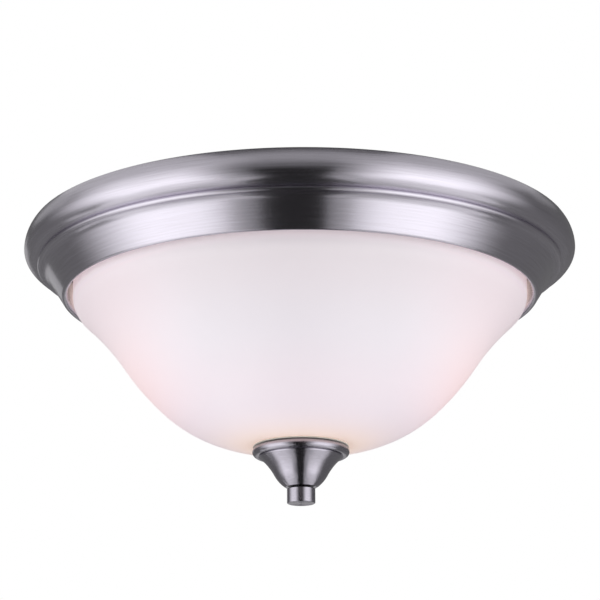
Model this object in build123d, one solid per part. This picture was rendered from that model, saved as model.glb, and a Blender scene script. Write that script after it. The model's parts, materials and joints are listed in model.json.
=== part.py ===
from build123d import *
from math import acos, asin, atan2, cos, degrees, pi, radians, sin, tan
import os

# A flush ceiling light with two lamps: a spun canopy against the ceiling, a white reflector plate
# inside it, an opal glass bowl, and a bell cup with a turned knob that hold the bowl on a rod.
# The origin is the centre of the ceiling plane and +Z is up, so the whole light lies below zero.

# Clearances
THREAD_FIT = 0.05        # between a thread and the nut or bore that it stays in
RUN_FIT = 0.08           # between a thread and a bore that turns on it
SEAT_GAP = 0.1           # between flat faces of pieces that come apart
CURVE_GAP = 0.3          # between round faces of neighbouring pieces
PASS_GAP = 0.5           # round a shank that passes freely through a hole
CUT_PAST = 1.0           # how far a cut runs past the face that it opens

# Canopy
CANOPY_R = 165.0         # at the widest line of the rolled edge
CANOPY_DEPTH = 40.85     # ceiling to the underside of the lip
CANOPY_SHEET = 0.9
CANOPY_FLANGE = 14.5     # width of the flat ring against the ceiling
ROLL_DROP = 12.5         # ceiling to the widest line
ROLL_SHOULDER_R = 3.5
ROLL_UPPER_R = 18.3
ROLL_LOWER_R = 7.8
GROOVE_DEPTH = 1.6
GROOVE_HEIGHT = 0.3
BEAD_R = 1.45
BEAD_SWEEP = 165.0       # degrees of the bead that show
COVE_FILLET_R = 6.0
LIP_INSET = 22.35        # widest line to the outside of the lip
LIP_CURL_R = 1.95
LIP_RETURN = 1.5         # straight end of the curl, inside the lip

# Reflector plate
PLATE_SHEET = 0.8
PLATE_INSET = 1.0        # edge of the canopy's flange to the plate's wall
PLATE_LAP = 11.5         # how far the plate's flange reaches under the canopy's
PLATE_BEND_R = 2.0
WEB_DROP = 17.2          # ceiling to the upper face of the plate's web
RIVET_R = 1.6
RIVET_HEAD_R = 3.0
RIVET_HEAD_H = 1.2
RIVET_HEAD_ROUND = 0.7
RIVET_TAIL_H = 0.6       # the flattened end
PLATE_RIVETS = 8
PAD_THICKNESS = 11.0
PAD_INNER_R = 88.0
PAD_EDGE_GAP = 4.0       # between the pad and the plate's wall
PAD_ROUND = 2.5

# Outlet box strap and what hangs the plate on it
STRAP_WIDTH = 20.0
STRAP_THICKNESS = 1.6
STRAP_END = 8.0          # stud hole to the strap's end
STRAP_CORNER_R = 4.0
STRAP_CENTER_HOLE_R = 5.0
BOX_SPACING = 79.375     # between the slot centres, for boxes of 69.85 and 88.9 mm
BOX_SLOT_LENGTH = 14.3   # end to end
BOX_SLOT_R = 2.4
STUD_SPACING = 104.0
STUD_R = 2.1
STUD_TOP_DROP = 0.2      # below the ceiling plane
NUT_ACROSS = 8.7
STRAP_NUT_H = 3.2
LOCK_WASHER_R = 4.3
LOCK_WASHER_H = 1.0
CAP_NUT_H = 5.0          # the six-sided part
CAP_NUT_DOME_R = 4.1
STUD_GRIP = 5.5          # stud inside its cap nut
GROUND_SCREW_R = 1.9
GROUND_HEAD_R = 3.8
GROUND_HEAD_H = 2.2
GROUND_STRAP_X = 18.0
GROUND_WEB_X = 24.0
GROUND_WEB_Y = 30.0
GROUND_LEAD_R = 0.8

# Centre rod
ROD_R = 3.0
ROD_NUT_ACROSS = 10.0
ROD_NUT_H = 5.0
ROD_WASHER_R = 8.0
ROD_WASHER_H = 1.2
ROD_OVER_NUT = 2.0       # thread above the upper nut
ROD_IN_KNOB = 6.0

# Glass bowl
GLASS_WALL = 3.5
GLASS_RIM_ROUND = 1.05
GLASS_LIP_GAP = 3.15     # between the lip's inside and the glass
GLASS_HOLE_R = 6.0
COLLAR_H = 19.1          # straight wall above the shoulder
SHOULDER_R = 14.0
SHOULDER_TURN = 48.2     # degrees
WAIST_R = 156.5
WAIST_TURN = 14.1        # degrees
SIDE_R = 158.5
SIDE_TURN = 13.0         # degrees
BASE_R = 84.4
BUMPER_R = 3.0
BUMPER_H = 3.0
BUMPERS = 4
BUSHING_WALL = 2.2
BUSHING_FLANGE_R = 9.5
BUSHING_FLANGE_H = 1.2

# Bell cup and knob
GASKET_WIDTH = 4.5
GASKET_H = 0.7
CUP_SHEET = 0.9
CUP_RIM_R = 26.0         # to the middle of the curled rim
CUP_CURL_R = 2.66
CUP_CURL_START = 170.0   # degrees
CUP_CURL_SWEEP = 280.0   # degrees
BELL_ANGLE = 51.0        # degrees from vertical, where the bell leaves the rim
BELL_FLARE_R = 37.0
BELL_FLARE_TURN = 23.0   # degrees
BELL_BELLY_R = 20.0
BELL_BELLY_TURN = 28.0   # degrees
KNOB_R = 8.3
KNOB_H = 9.5
KNOB_NECK_R = 7.3
KNOB_NECK_H = 0.7
KNOB_EDGE_R = 0.6
KNOB_BORE_SPARE = 1.0    # bore beyond the end of the rod

# Lamp holders
LAMP_SIDE = 45.0         # lamp axis to the centre line
LAMP_DROP = 51.0         # ceiling to the lamp axis
SOCKET_BACK = 72.0       # back of the holder to the centre line
SOCKET_LENGTH = 42.0
SOCKET_WALL = 3.6
SOCKET_BACK_WALL = 8.0
SOCKET_FOOT = 12.0       # length of the narrower back end
SOCKET_STEP = 1.6
SOCKET_EDGE = 1.2        # chamfer at both ends
SHELL_SHEET = 0.7
SHELL_LENGTH = 28.0
TONGUE_SHEET = 0.5
TONGUE_WIDTH = 6.0
TONGUE_FOOT = 9.0
TONGUE_RISE = 4.5
TONGUE_REACH = 4.5       # lamp axis to the bend
TONGUE_BEND_R = 1.0
BRACKET_SHEET = 1.2
BRACKET_WIDTH = 14.0
BRACKET_TAB = 24.0
BRACKET_BELOW = 9.0      # leg below the lamp axis
BRACKET_BEND_R = 2.0
BRACKET_RIVET_PITCH = 10.0
BRACKET_RIVET_END = 6.0  # tab end to the first rivet
SOCKET_SCREW_R = 1.6
SOCKET_SCREW_HEAD_R = 3.2
SOCKET_SCREW_HEAD_H = 2.0
SOCKET_SCREW_ROUND = 1.0
SOCKET_SCREW_GRIP = 5.0

# Lamps
CAP_CREST_R = 13.1
CAP_ROOT_R = 12.3
CAP_THREAD_PITCH = 3.629
CAP_THREADS = 4
CAP_LENGTH = 28.0
CAP_SKIN = 0.4
CAP_EDGE_R = 9.6         # where the cap ends at the insulator
TIP_R = 4.6
TIP_H = 1.3
TIP_DOME = 0.65          # how far the tip's middle stands out
INSULATOR_H = 4.2
BULB_R = 30.0
BULB_LENGTH = 108.0
BULB_GLASS = 1.0
NECK_IN = 8.0            # neck inside the cap
NECK_OUT = 2.0           # straight neck beyond the cap

# Leads
LEAD_R = 1.1
LEAD_HOLE_OUT = 11.0     # lead holes to the lamp axis, sideways
LEAD_HOLE_UP = 6.0       # and up and down
LEAD_GRIP = 5.0          # lead inside the holder
LEAD_ARC_SHARE = 0.45    # of the shorter run that each bend takes
GROMMET_X = 30.0
GROMMET_Y = 10.0
GROMMET_HOLE_R = 4.4
GROMMET_WALL = 1.2
GROMMET_FLANGE_R = 7.2
GROMMET_FLANGE_H = 1.3
CONNECTOR_R = 5.5
CONNECTOR_TIP_R = 3.8
CONNECTOR_LENGTH = 24.0
CONNECTOR_SKIRT = 8.0    # the straight part at its mouth
CONNECTOR_MOUTH = 21.0   # mouth to the centre line
CONNECTOR_BORE_R = 3.1
CONNECTOR_BORE = 15.0
SPLICE_DEPTH = 11.0      # lead inside its connector

# Levels and radii that follow
web_top = -WEB_DROP
web_bottom = web_top - PLATE_SHEET
lip_r = CANOPY_R - LIP_INSET
lip_level = LIP_CURL_R - CANOPY_DEPTH
roll_angle = degrees(asin((ROLL_DROP - ROLL_SHOULDER_R) / (ROLL_UPPER_R - ROLL_SHOULDER_R)))
roll_inset = ROLL_UPPER_R - (ROLL_UPPER_R - ROLL_SHOULDER_R) * cos(radians(roll_angle))
flange_outer_r = CANOPY_R - roll_inset
flange_inner_r = flange_outer_r - CANOPY_FLANGE
plate_wall_r = flange_inner_r - PLATE_INSET
plate_flange_r = flange_inner_r + PLATE_LAP
plate_rivet_r = (flange_inner_r + plate_flange_r) / 2
glass_r = lip_r - 2 * LIP_CURL_R - GLASS_LIP_GAP
rim_level = web_bottom - BUMPER_H - SEAT_GAP
shell_inner_r = CAP_CREST_R + CURVE_GAP
shell_outer_r = shell_inner_r + SHELL_SHEET
socket_bore_r = shell_outer_r + THREAD_FIT
socket_r = socket_bore_r + SOCKET_WALL
lamp_start = SOCKET_BACK_WALL + TONGUE_RISE + SEAT_GAP
connector_level = web_top + CONNECTOR_R + SEAT_GAP
grommet_outer_r = GROMMET_HOLE_R + GROMMET_WALL
bracket_rivets_local = [BRACKET_TAB - BRACKET_RIVET_END - BRACKET_RIVET_PITCH * i for i in range(2)]
bracket_rivet_places = [x - SOCKET_BACK for x in bracket_rivets_local]


def turned(outline):
    """A solid turned about the vertical axis, from an outline drawn as radius and height."""
    return revolve(Plane.XZ * make_face(outline), Axis.Z)


def turned_lengthwise(outline):
    """A solid turned about the X axis, from an outline drawn as distance and radius."""
    return revolve(make_face(outline), Axis.X)


def sheet(edges, thickness, side):
    """The closed outline of a sheet that lies along one side of a line."""
    return Wire(edges).offset_2d(thickness, side=side)


def bends(start, heading, arcs):
    """Arcs that run on from each other, each a radius and a turn, with left turns positive."""
    line = []
    for radius, turn in arcs:
        line.append(JernArc(start, heading, radius, turn))
        start = line[-1] @ 1
        heading = line[-1] % 1
    return line


def disc(radius, top, bottom, bore=0):
    """A level disc between two heights, with a bore if one is given."""
    face = Circle(radius) - Circle(bore) if bore else Circle(radius)
    return Pos(0, 0, bottom) * extrude(face, top - bottom)


def hex_nut(across, top, bottom, bore):
    """A level hexagonal nut between two heights."""
    face = RegularPolygon(across / 2, 6, major_radius=False)
    return Pos(0, 0, bottom) * extrude(face, top - bottom) - disc(bore, top, bottom)


def both_ends(solid):
    """A piece and its copy half a turn round the middle of the light."""
    return [solid, Rot(0, 0, 180) * solid]


def on_circle(solid, radius, count, start=0):
    """Copies of a piece, evenly round the middle of the light."""
    step = 360 / count
    return [Rot(0, 0, start + step * i) * Pos(radius, 0, 0) * solid for i in range(count)]


def drill(solid, places, radius, top, bottom):
    """Level round holes at places given as X and Y."""
    for x, y in places:
        solid -= Pos(x, y, 0) * disc(radius, top, bottom)
    return solid


def opposite(x, y):
    """A place and the one half a turn round from it."""
    return [(x, y), (-x, -y)]


def write(name, solids):
    """Writes a node's solids to its own file."""
    group = solids if isinstance(solids, list) else [solids]
    export_step(Compound([solid for piece in group for solid in piece.solids()]), f"parts/{name}.step")


def canopy():
    """Spun shell: ceiling flange, rolled edge, groove, bead, cove and curled lip."""
    roll_end = -ROLL_DROP - ROLL_LOWER_R
    roll_base_r = CANOPY_R - ROLL_LOWER_R
    bead_r = roll_base_r - GROOVE_DEPTH
    bead_level = roll_end - GROOVE_HEIGHT - BEAD_R
    bead = CenterArc((bead_r, bead_level), BEAD_R, 90, -BEAD_SWEEP)
    # The cove's wall is the straight line that touches both the fillet and the lip's curl.
    fillet_center = (bead @ 1) - Vector(0, COVE_FILLET_R)
    curl_center = Vector(lip_r - LIP_CURL_R, lip_level)
    reach = fillet_center - curl_center
    wall_angle = degrees(acos((COVE_FILLET_R + LIP_CURL_R) / reach.length) - atan2(reach.Y, reach.X))
    cove = CenterArc(fillet_center, COVE_FILLET_R, 90, 90 - wall_angle)
    curl = CenterArc(curl_center, LIP_CURL_R, -wall_angle, wall_angle - 180)
    line = [
        Line((flange_inner_r, 0), (flange_outer_r, 0)),
        CenterArc((flange_outer_r, -ROLL_SHOULDER_R), ROLL_SHOULDER_R, 90, roll_angle - 90),
        CenterArc((CANOPY_R - ROLL_UPPER_R, -ROLL_DROP), ROLL_UPPER_R, roll_angle, -roll_angle),
        CenterArc((roll_base_r, -ROLL_DROP), ROLL_LOWER_R, 0, -90),
        Line((roll_base_r, roll_end), (bead_r, roll_end)),
        Line((bead_r, roll_end), (bead_r, roll_end - GROOVE_HEIGHT)),
        bead,
        cove,
        Line(cove @ 1, curl @ 0),
        curl,
        Line(curl @ 1, (curl @ 1) + Vector(0, LIP_RETURN)),
    ]
    shell = turned(sheet(line, CANOPY_SHEET, Side.RIGHT))
    cutter = disc(RIVET_R + THREAD_FIT, CUT_PAST, -CANOPY_SHEET - CUT_PAST)
    for hole in on_circle(cutter, plate_rivet_r, PLATE_RIVETS):
        shell -= hole
    return shell


def reflector_plate():
    """Dished plate: flange under the canopy's flange, upright wall and flat web."""
    line = FilletPolyline(
        (plate_flange_r, -CANOPY_SHEET),
        (plate_wall_r, -CANOPY_SHEET),
        (plate_wall_r, web_top),
        (0, web_top),
        radius=PLATE_BEND_R,
    )
    plate = turned(sheet(line.edges(), PLATE_SHEET, Side.LEFT))
    for hole in on_circle(disc(RIVET_R + THREAD_FIT, 0, web_top), plate_rivet_r, PLATE_RIVETS):
        plate -= hole
    through = (web_top + CUT_PAST, web_bottom - CUT_PAST)
    plate = drill(plate, [(0, 0)], ROD_R + PASS_GAP, *through)
    plate = drill(plate, opposite(STUD_SPACING / 2, 0), STUD_R + PASS_GAP, *through)
    plate = drill(plate, opposite(-GROMMET_X, GROMMET_Y), grommet_outer_r + THREAD_FIT, *through)
    plate = drill(plate, [(GROUND_WEB_X, GROUND_WEB_Y)], GROUND_SCREW_R + THREAD_FIT, *through)
    for x in bracket_rivet_places:
        plate = drill(plate, opposite(x, LAMP_SIDE), RIVET_R + THREAD_FIT, *through)
    return plate


def rivet_head(seat):
    """Round head that sits up against a face at the given height."""
    head = disc(RIVET_HEAD_R, seat, seat - RIVET_HEAD_H)
    return fillet(head.edges().sort_by(Axis.Z)[0], RIVET_HEAD_ROUND)


def plate_rivets():
    """Rivets level with the ceiling face, with their heads under the plate's flange."""
    seat = -CANOPY_SHEET - PLATE_SHEET
    return on_circle(rivet_head(seat) + disc(RIVET_R, 0, seat), plate_rivet_r, PLATE_RIVETS)


def insulation_pad():
    """Soft ring of glass wool that lies on the web."""
    pad = disc(plate_wall_r - PAD_EDGE_GAP, web_top + PAD_THICKNESS, web_top, PAD_INNER_R)
    return fillet(pad.edges(), PAD_ROUND)


def mounting_strap():
    """Flat bar against the outlet box, with a slot for each box screw."""
    length = STUD_SPACING + 2 * STRAP_END
    face = RectangleRounded(length, STRAP_WIDTH, STRAP_CORNER_R) - Circle(STRAP_CENTER_HOLE_R)
    for side in (-1, 1):
        face -= Pos(side * BOX_SPACING / 2, 0) * SlotOverall(BOX_SLOT_LENGTH, 2 * BOX_SLOT_R)
        face -= Pos(side * STUD_SPACING / 2, 0) * Circle(STUD_R + THREAD_FIT)
    face -= Pos(GROUND_STRAP_X, 0) * Circle(GROUND_SCREW_R + THREAD_FIT)
    return Pos(0, 0, -STRAP_THICKNESS) * extrude(face, STRAP_THICKNESS)


def stud_pieces():
    """Stud, strap nut, lock washer and cap nut at one end of the strap."""
    washer_bottom = web_bottom - LOCK_WASHER_H
    stud_bottom = washer_bottom - STUD_GRIP
    place = Pos(STUD_SPACING / 2, 0, 0)
    stud = disc(STUD_R, -STUD_TOP_DROP, stud_bottom)
    nut = hex_nut(NUT_ACROSS, -STRAP_THICKNESS, -STRAP_THICKNESS - STRAP_NUT_H, STUD_R + THREAD_FIT)
    washer = disc(LOCK_WASHER_R, web_bottom, washer_bottom, STUD_R + THREAD_FIT)
    dome_top = washer_bottom - CAP_NUT_H
    dome = Pos(0, 0, dome_top) * Sphere(CAP_NUT_DOME_R, arc_size2=0)
    cap = hex_nut(NUT_ACROSS, washer_bottom, dome_top, STUD_R + THREAD_FIT) + dome
    cap -= disc(STUD_R + THREAD_FIT, washer_bottom, stud_bottom - SEAT_GAP)
    return [place * piece for piece in (stud, nut, washer, cap)]


def ground_screws():
    """One screw under the strap and one on the web, with the ground lead between them."""
    strap_face = -STRAP_THICKNESS
    under = disc(GROUND_HEAD_R, strap_face, strap_face - GROUND_HEAD_H) + disc(GROUND_SCREW_R, 0, strap_face)
    head_top = web_top + GROUND_HEAD_H
    over = disc(GROUND_HEAD_R, head_top, web_top) + disc(GROUND_SCREW_R, web_top, web_bottom)
    return [Pos(GROUND_STRAP_X, 0, 0) * under, Pos(GROUND_WEB_X, GROUND_WEB_Y, 0) * over]


def rod_pieces():
    """Threaded rod with a nut and a washer on each side of the web."""
    washer_top = web_top + ROD_WASHER_H
    washer_bottom = web_bottom - ROD_WASHER_H
    bore = ROD_R + THREAD_FIT
    rod = disc(ROD_R, washer_top + ROD_NUT_H + ROD_OVER_NUT, rod_end)
    nuts = [
        hex_nut(ROD_NUT_ACROSS, washer_top + ROD_NUT_H, washer_top, bore),
        hex_nut(ROD_NUT_ACROSS, washer_bottom, washer_bottom - ROD_NUT_H, bore),
    ]
    washers = [
        disc(ROD_WASHER_R, washer_top, web_top, bore),
        disc(ROD_WASHER_R, web_bottom, washer_bottom, bore),
    ]
    return rod, nuts, washers


def bowl_line():
    """Outside of the glass, from the rim down the collar and through its four bends to the flat base."""
    collar = Line((glass_r, rim_level), (glass_r, rim_level - COLLAR_H))
    last_turn = 90 - SHOULDER_TURN + WAIST_TURN - SIDE_TURN
    curve = bends(
        collar @ 1,
        (0, -1),
        [(SHOULDER_R, -SHOULDER_TURN), (WAIST_R, WAIST_TURN), (SIDE_R, -SIDE_TURN), (BASE_R, -last_turn)],
    )
    return [collar] + curve


def glass_bowl():
    """Opal glass of one thickness, with a hole for the rod in its flat base."""
    line = bowl_line()
    line.append(Line(line[-1] @ 1, (GLASS_HOLE_R, base_level)))
    bowl = turned(sheet(line, GLASS_WALL, Side.RIGHT))
    rim = bowl.edges().group_by(Axis.Z)[-1]
    return fillet(rim, GLASS_RIM_ROUND)


def rim_bumpers():
    """Rubber buttons under the web that the glass rim rests against."""
    button = disc(BUMPER_R, web_bottom, web_bottom - BUMPER_H)
    return on_circle(button, glass_r - GLASS_WALL / 2, BUMPERS, start=180 / BUMPERS)


def glass_bushing():
    """Rubber sleeve in the hole of the glass, with a flange inside the bowl."""
    outer = GLASS_HOLE_R - SEAT_GAP
    inside = base_level + GLASS_WALL
    flange = disc(BUSHING_FLANGE_R, inside + BUSHING_FLANGE_H, inside)
    return flange + disc(outer, inside, base_level) - disc(outer - BUSHING_WALL, 0, base_level - CUT_PAST)


def cup_gasket():
    """Rubber ring between the glass and the rim of the cup."""
    half = GASKET_WIDTH / 2
    return disc(CUP_RIM_R + half, base_level, base_level - GASKET_H, CUP_RIM_R - half)


def cup_line():
    """Outside of the bell cup, from the curled rim down to the small flat base."""
    curl = CenterArc((CUP_RIM_R, cup_rim_level), CUP_CURL_R, CUP_CURL_START, -CUP_CURL_SWEEP)
    angle = radians(BELL_ANGLE)
    turns = [(BELL_FLARE_R, BELL_FLARE_TURN), (BELL_BELLY_R, -BELL_BELLY_TURN)]
    return [curl] + bends(curl @ 1, (-sin(angle), -cos(angle)), turns)


def finial_cup():
    """Spun bell cup with a curled rim."""
    line = cup_line()
    line.append(Line(line[-1] @ 1, (ROD_R + PASS_GAP, cup_base_level)))
    return turned(sheet(line, CUP_SHEET, Side.RIGHT))


def finial_knob():
    """Turned knob with a narrow neck and a blind bore for the rod."""
    top = cup_base_level - SEAT_GAP
    neck_end = top - KNOB_NECK_H
    body = disc(KNOB_R, neck_end, top - KNOB_H)
    body = fillet(body.edges(), KNOB_EDGE_R)
    bore = disc(ROD_R + RUN_FIT, top, rod_end - KNOB_BORE_SPARE)
    return body + disc(KNOB_NECK_R, top, neck_end) - bore


def socket_body():
    """Porcelain lamp holder along X, with its back at zero and its mouth outwards."""
    foot_r = socket_r - SOCKET_STEP
    body = turned_lengthwise(
        Polyline(
            (0, 0),
            (0, foot_r - SOCKET_EDGE),
            (SOCKET_EDGE, foot_r),
            (SOCKET_FOOT, foot_r),
            (SOCKET_FOOT + SOCKET_STEP, socket_r),
            (SOCKET_LENGTH - SOCKET_EDGE, socket_r),
            (SOCKET_LENGTH, socket_r - SOCKET_EDGE),
            (SOCKET_LENGTH, socket_bore_r),
            (SOCKET_BACK_WALL, socket_bore_r),
            (SOCKET_BACK_WALL, 0),
            close=True,
        )
    )
    along = Rot(0, 90, 0)
    body -= along * disc(SOCKET_SCREW_R + THREAD_FIT, SOCKET_SCREW_GRIP + SEAT_GAP, 0)
    for up in (-LEAD_HOLE_UP, LEAD_HOLE_UP):
        hole = along * disc(LEAD_R + CURVE_GAP, LEAD_GRIP + SEAT_GAP, 0)
        body -= Pos(0, -LEAD_HOLE_OUT, up) * hole
    return body


def screw_shell():
    """Metal shell in the holder, smooth inside, that takes the lamp's cap."""
    tube = Circle(shell_outer_r) - Circle(shell_inner_r)
    return Pos(SOCKET_BACK_WALL, 0, 0) * Rot(0, 90, 0) * extrude(tube, SHELL_LENGTH)


def center_contact():
    """Springy brass tongue on the holder's back wall, bent up under the lamp's tip."""
    low = SOCKET_BACK_WALL
    high = low + TONGUE_RISE
    line = FilletPolyline(
        (low, -TONGUE_FOOT),
        (low, TONGUE_REACH),
        (high, TONGUE_REACH),
        (high, -TIP_R),
        radius=TONGUE_BEND_R,
    )
    strip = make_face(sheet(line.edges(), TONGUE_SHEET, Side.RIGHT))
    return extrude(strip, TONGUE_WIDTH / 2, both=True)


def socket_bracket():
    """Bent strip: a tab riveted under the web and a leg behind the holder."""
    level = web_bottom + LAMP_DROP
    line = FilletPolyline(
        (BRACKET_TAB, level),
        (-BRACKET_SHEET, level),
        (-BRACKET_SHEET, -BRACKET_BELOW),
        radius=BRACKET_BEND_R,
    )
    strip = make_face(sheet(line.edges(), BRACKET_SHEET, Side.LEFT))
    bracket = extrude(Plane.XZ * strip, BRACKET_WIDTH / 2, both=True)
    bracket -= Rot(0, 90, 0) * disc(SOCKET_SCREW_R + THREAD_FIT, CUT_PAST, -BRACKET_SHEET - CUT_PAST)
    places = [(x, 0) for x in bracket_rivets_local]
    return drill(bracket, places, RIVET_R + THREAD_FIT, level + CUT_PAST, level - BRACKET_SHEET - CUT_PAST)


def bracket_rivets():
    """Rivets that hold one bracket's tab to the web, flattened on the upper side."""
    seat = web_bottom - BRACKET_SHEET
    tail = disc(RIVET_HEAD_R, web_top + RIVET_TAIL_H, web_top)
    rivet = rivet_head(seat) + disc(RIVET_R, web_top, seat) + tail
    return [Pos(x, LAMP_SIDE, 0) * rivet for x in bracket_rivet_places]


def socket_screw():
    """Screw from behind the bracket into the holder's back."""
    head = disc(SOCKET_SCREW_HEAD_R, -BRACKET_SHEET, -BRACKET_SHEET - SOCKET_SCREW_HEAD_H)
    head = fillet(head.edges().sort_by(Axis.Z)[0], SOCKET_SCREW_ROUND)
    return Rot(0, 90, 0) * (head + disc(SOCKET_SCREW_R, SOCKET_SCREW_GRIP, -BRACKET_SHEET))


def lamp_tip():
    """Round contact at the end of the lamp's cap, slightly domed."""
    end = lamp_start + TIP_H
    dome = TangentArc((lamp_start, 0), (lamp_start + TIP_DOME, TIP_R), tangent=(0, 1))
    back = Polyline(dome @ 1, (end, TIP_R), (end, 0), (lamp_start, 0))
    return turned_lengthwise([dome, back])


def lamp_insulator():
    """Dark glass cone between the tip and the cap."""
    start = lamp_start + TIP_H
    end = start + INSULATOR_H
    return turned_lengthwise(
        Polyline((start, 0), (start, TIP_R), (end, CAP_EDGE_R), (end, 0), close=True)
    )


def lamp_cap():
    """Screw cap: rounded edge, rolled thread ridges and a plain skirt."""
    start = lamp_start + TIP_H + INSULATOR_H + SEAT_GAP
    edge = CAP_ROOT_R - CAP_EDGE_R
    thread_start = start + edge
    line = [CenterArc((thread_start, CAP_EDGE_R), edge, 180, -90)]
    for i in range(CAP_THREADS):
        a = thread_start + i * CAP_THREAD_PITCH
        b = a + CAP_THREAD_PITCH
        line.append(ThreePointArc((a, CAP_ROOT_R), ((a + b) / 2, CAP_CREST_R), (b, CAP_ROOT_R)))
    end = lamp_start + CAP_LENGTH
    inner = CAP_ROOT_R - CAP_SKIN
    line.append(
        Polyline(
            line[-1] @ 1,
            (end, CAP_ROOT_R),
            (end, inner),
            (thread_start, inner),
            (start + CAP_SKIN, CAP_EDGE_R - CAP_SKIN),
            (start, CAP_EDGE_R - CAP_SKIN),
            (start, CAP_EDGE_R),
        )
    )
    return turned_lengthwise(line)


def lamp_envelope():
    """Frosted bulb: a neck inside the cap, a hollow flare and a round head."""
    neck_r = CAP_ROOT_R - CAP_SKIN - THREAD_FIT
    neck_end = lamp_start + CAP_LENGTH + NECK_OUT
    head = lamp_start + BULB_LENGTH - BULB_R
    span = head - neck_end
    # The flare touches both the neck's line and the round head.
    flare_r = (span**2 + neck_r**2 - BULB_R**2) / (2 * (BULB_R - neck_r))
    flare_turn = degrees(atan2(span, neck_r + flare_r))
    neck = Line((lamp_start + CAP_LENGTH - NECK_IN, neck_r), (neck_end, neck_r))
    curve = bends(neck @ 1, (1, 0), [(flare_r, flare_turn), (BULB_R, -90 - flare_turn)])
    return turned_lengthwise(sheet([neck] + curve, BULB_GLASS, Side.RIGHT))


def wire_bushing():
    """Nylon ring that guards the leads where they pass through the web."""
    ring = disc(grommet_outer_r, web_top, web_bottom)
    ring += disc(GROMMET_FLANGE_R, web_top + GROMMET_FLANGE_H, web_top)
    ring += disc(GROMMET_FLANGE_R, web_bottom, web_bottom - GROMMET_FLANGE_H)
    ring -= disc(GROMMET_HOLE_R, 0, web_bottom - GROMMET_FLANGE_H - CUT_PAST)
    return Pos(-GROMMET_X, GROMMET_Y, 0) * ring


def wire_connector():
    """Twist-on cap over the joined ends of two leads, lying on the web."""
    cap = turned_lengthwise(
        Polyline(
            (0, CONNECTOR_BORE_R),
            (0, CONNECTOR_R),
            (CONNECTOR_SKIRT, CONNECTOR_R),
            (CONNECTOR_LENGTH, CONNECTOR_TIP_R),
            (CONNECTOR_LENGTH, 0),
            (CONNECTOR_BORE, 0),
            (CONNECTOR_BORE, CONNECTOR_BORE_R),
            close=True,
        )
    )
    return Pos(0, CONNECTOR_MOUTH, connector_level) * Rot(0, 0, 90) * cap


def lead(name, points, radius):
    """A lead of straight runs, joined by bends that are as large as the runs allow."""
    places = [Vector(*point) for point in points]
    radii = []
    for before, here, after in zip(places, places[1:], places[2:]):
        turn = radians((here - before).get_angle(after - here))
        shorter = min((here - before).length, (after - here).length)
        radii.append(LEAD_ARC_SHARE * shorter / tan(turn / 2))
    path = FilletPolyline(*places, radius=radii)
    tube = sweep(Plane(path @ 0, z_dir=path % 0) * Circle(radius), path)
    expected = pi * radius**2 * path.length
    print(name, "length", round(path.length, 1), "least bend", round(min(radii), 1))
    print(name, "volume", round(tube.volume, 1), "section times length", round(expected, 1))
    return tube


# Heights that follow from the glass and the cup
base_level = (bowl_line()[-1] @ 1).Y
cup_rim_level = base_level - GASKET_H - SEAT_GAP - CUP_CURL_R
cup_base_level = (cup_line()[-1] @ 1).Y
rod_end = cup_base_level - SEAT_GAP - ROD_IN_KNOB

# Routes of the leads of the first lamp, from the holder's back, along the underside of the web,
# up through the bushing and into a connector
socket_x = LEAD_GRIP - SOCKET_BACK
socket_y = LAMP_SIDE - LEAD_HOLE_OUT
splice_end = CONNECTOR_MOUTH + SPLICE_DEPTH
upper_lead = [
    (socket_x, socket_y, LEAD_HOLE_UP - LAMP_DROP),
    (-80, socket_y, LEAD_HOLE_UP - LAMP_DROP),
    (-88, 29, -39),
    (-86.5, 20, -31),
    (-74, 14, -27.5),
    (-59.5, 12, -27),
    (-45.2, 11.6, -27.6),
    (-GROMMET_X, 11.6, -27),
    (-GROMMET_X, 11.6, connector_level),
    (-14, 11.8, connector_level),
    (-1.5, 16.5, connector_level),
    (-1.3, splice_end, connector_level),
]
lower_lead = [
    (socket_x, socket_y, -LEAD_HOLE_UP - LAMP_DROP),
    (-82, socket_y, -LEAD_HOLE_UP - LAMP_DROP),
    (-94, 28, -50),
    (-94, 19, -37),
    (-81, 12, -29.5),
    (-63, 9, -28),
    (-45.5, 8.4, -27.6),
    (-GROMMET_X, 8.4, -27),
    (-GROMMET_X, 8.4, connector_level),
    (-16, 3.2, connector_level),
    (-9.5, -6.5, connector_level),
    (-1.8, -16, connector_level),
    (-1.3, -splice_end, connector_level),
]
ground_lead = [
    (GROUND_STRAP_X, GROUND_HEAD_R + CURVE_GAP, -2.7),
    (18.5, 11, -3.2),
    (20, 18, -7.5),
    (22, 22.5, -13),
    (GROUND_WEB_X, GROUND_WEB_Y - GROUND_HEAD_R - PASS_GAP, web_top + GROUND_HEAD_H / 2),
]

os.makedirs("parts", exist_ok=True)
rod, rod_nuts, rod_washers = rod_pieces()
stud, strap_nut, lock_washer, cap_nut = stud_pieces()
first_lamp = Pos(-SOCKET_BACK, LAMP_SIDE, -LAMP_DROP)

write("canopy", canopy())
write("reflector_plate", reflector_plate())
write("plate_rivets", plate_rivets())
write("insulation_pad", insulation_pad())
write("mounting_strap", mounting_strap())
write("mounting_studs", both_ends(stud))
write("strap_nuts", both_ends(strap_nut))
write("lock_washers", both_ends(lock_washer))
write("cap_nuts", both_ends(cap_nut))
write("ground_screws", ground_screws())
write("ground_lead", lead("ground_lead", ground_lead, GROUND_LEAD_R))
write("center_rod", rod)
write("rod_nuts", rod_nuts)
write("rod_washers", rod_washers)
write("rim_bumpers", rim_bumpers())
write("glass_bowl", glass_bowl())
write("glass_bushing", glass_bushing())
write("cup_gasket", cup_gasket())
write("finial_cup", finial_cup())
write("finial_knob", finial_knob())

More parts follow.
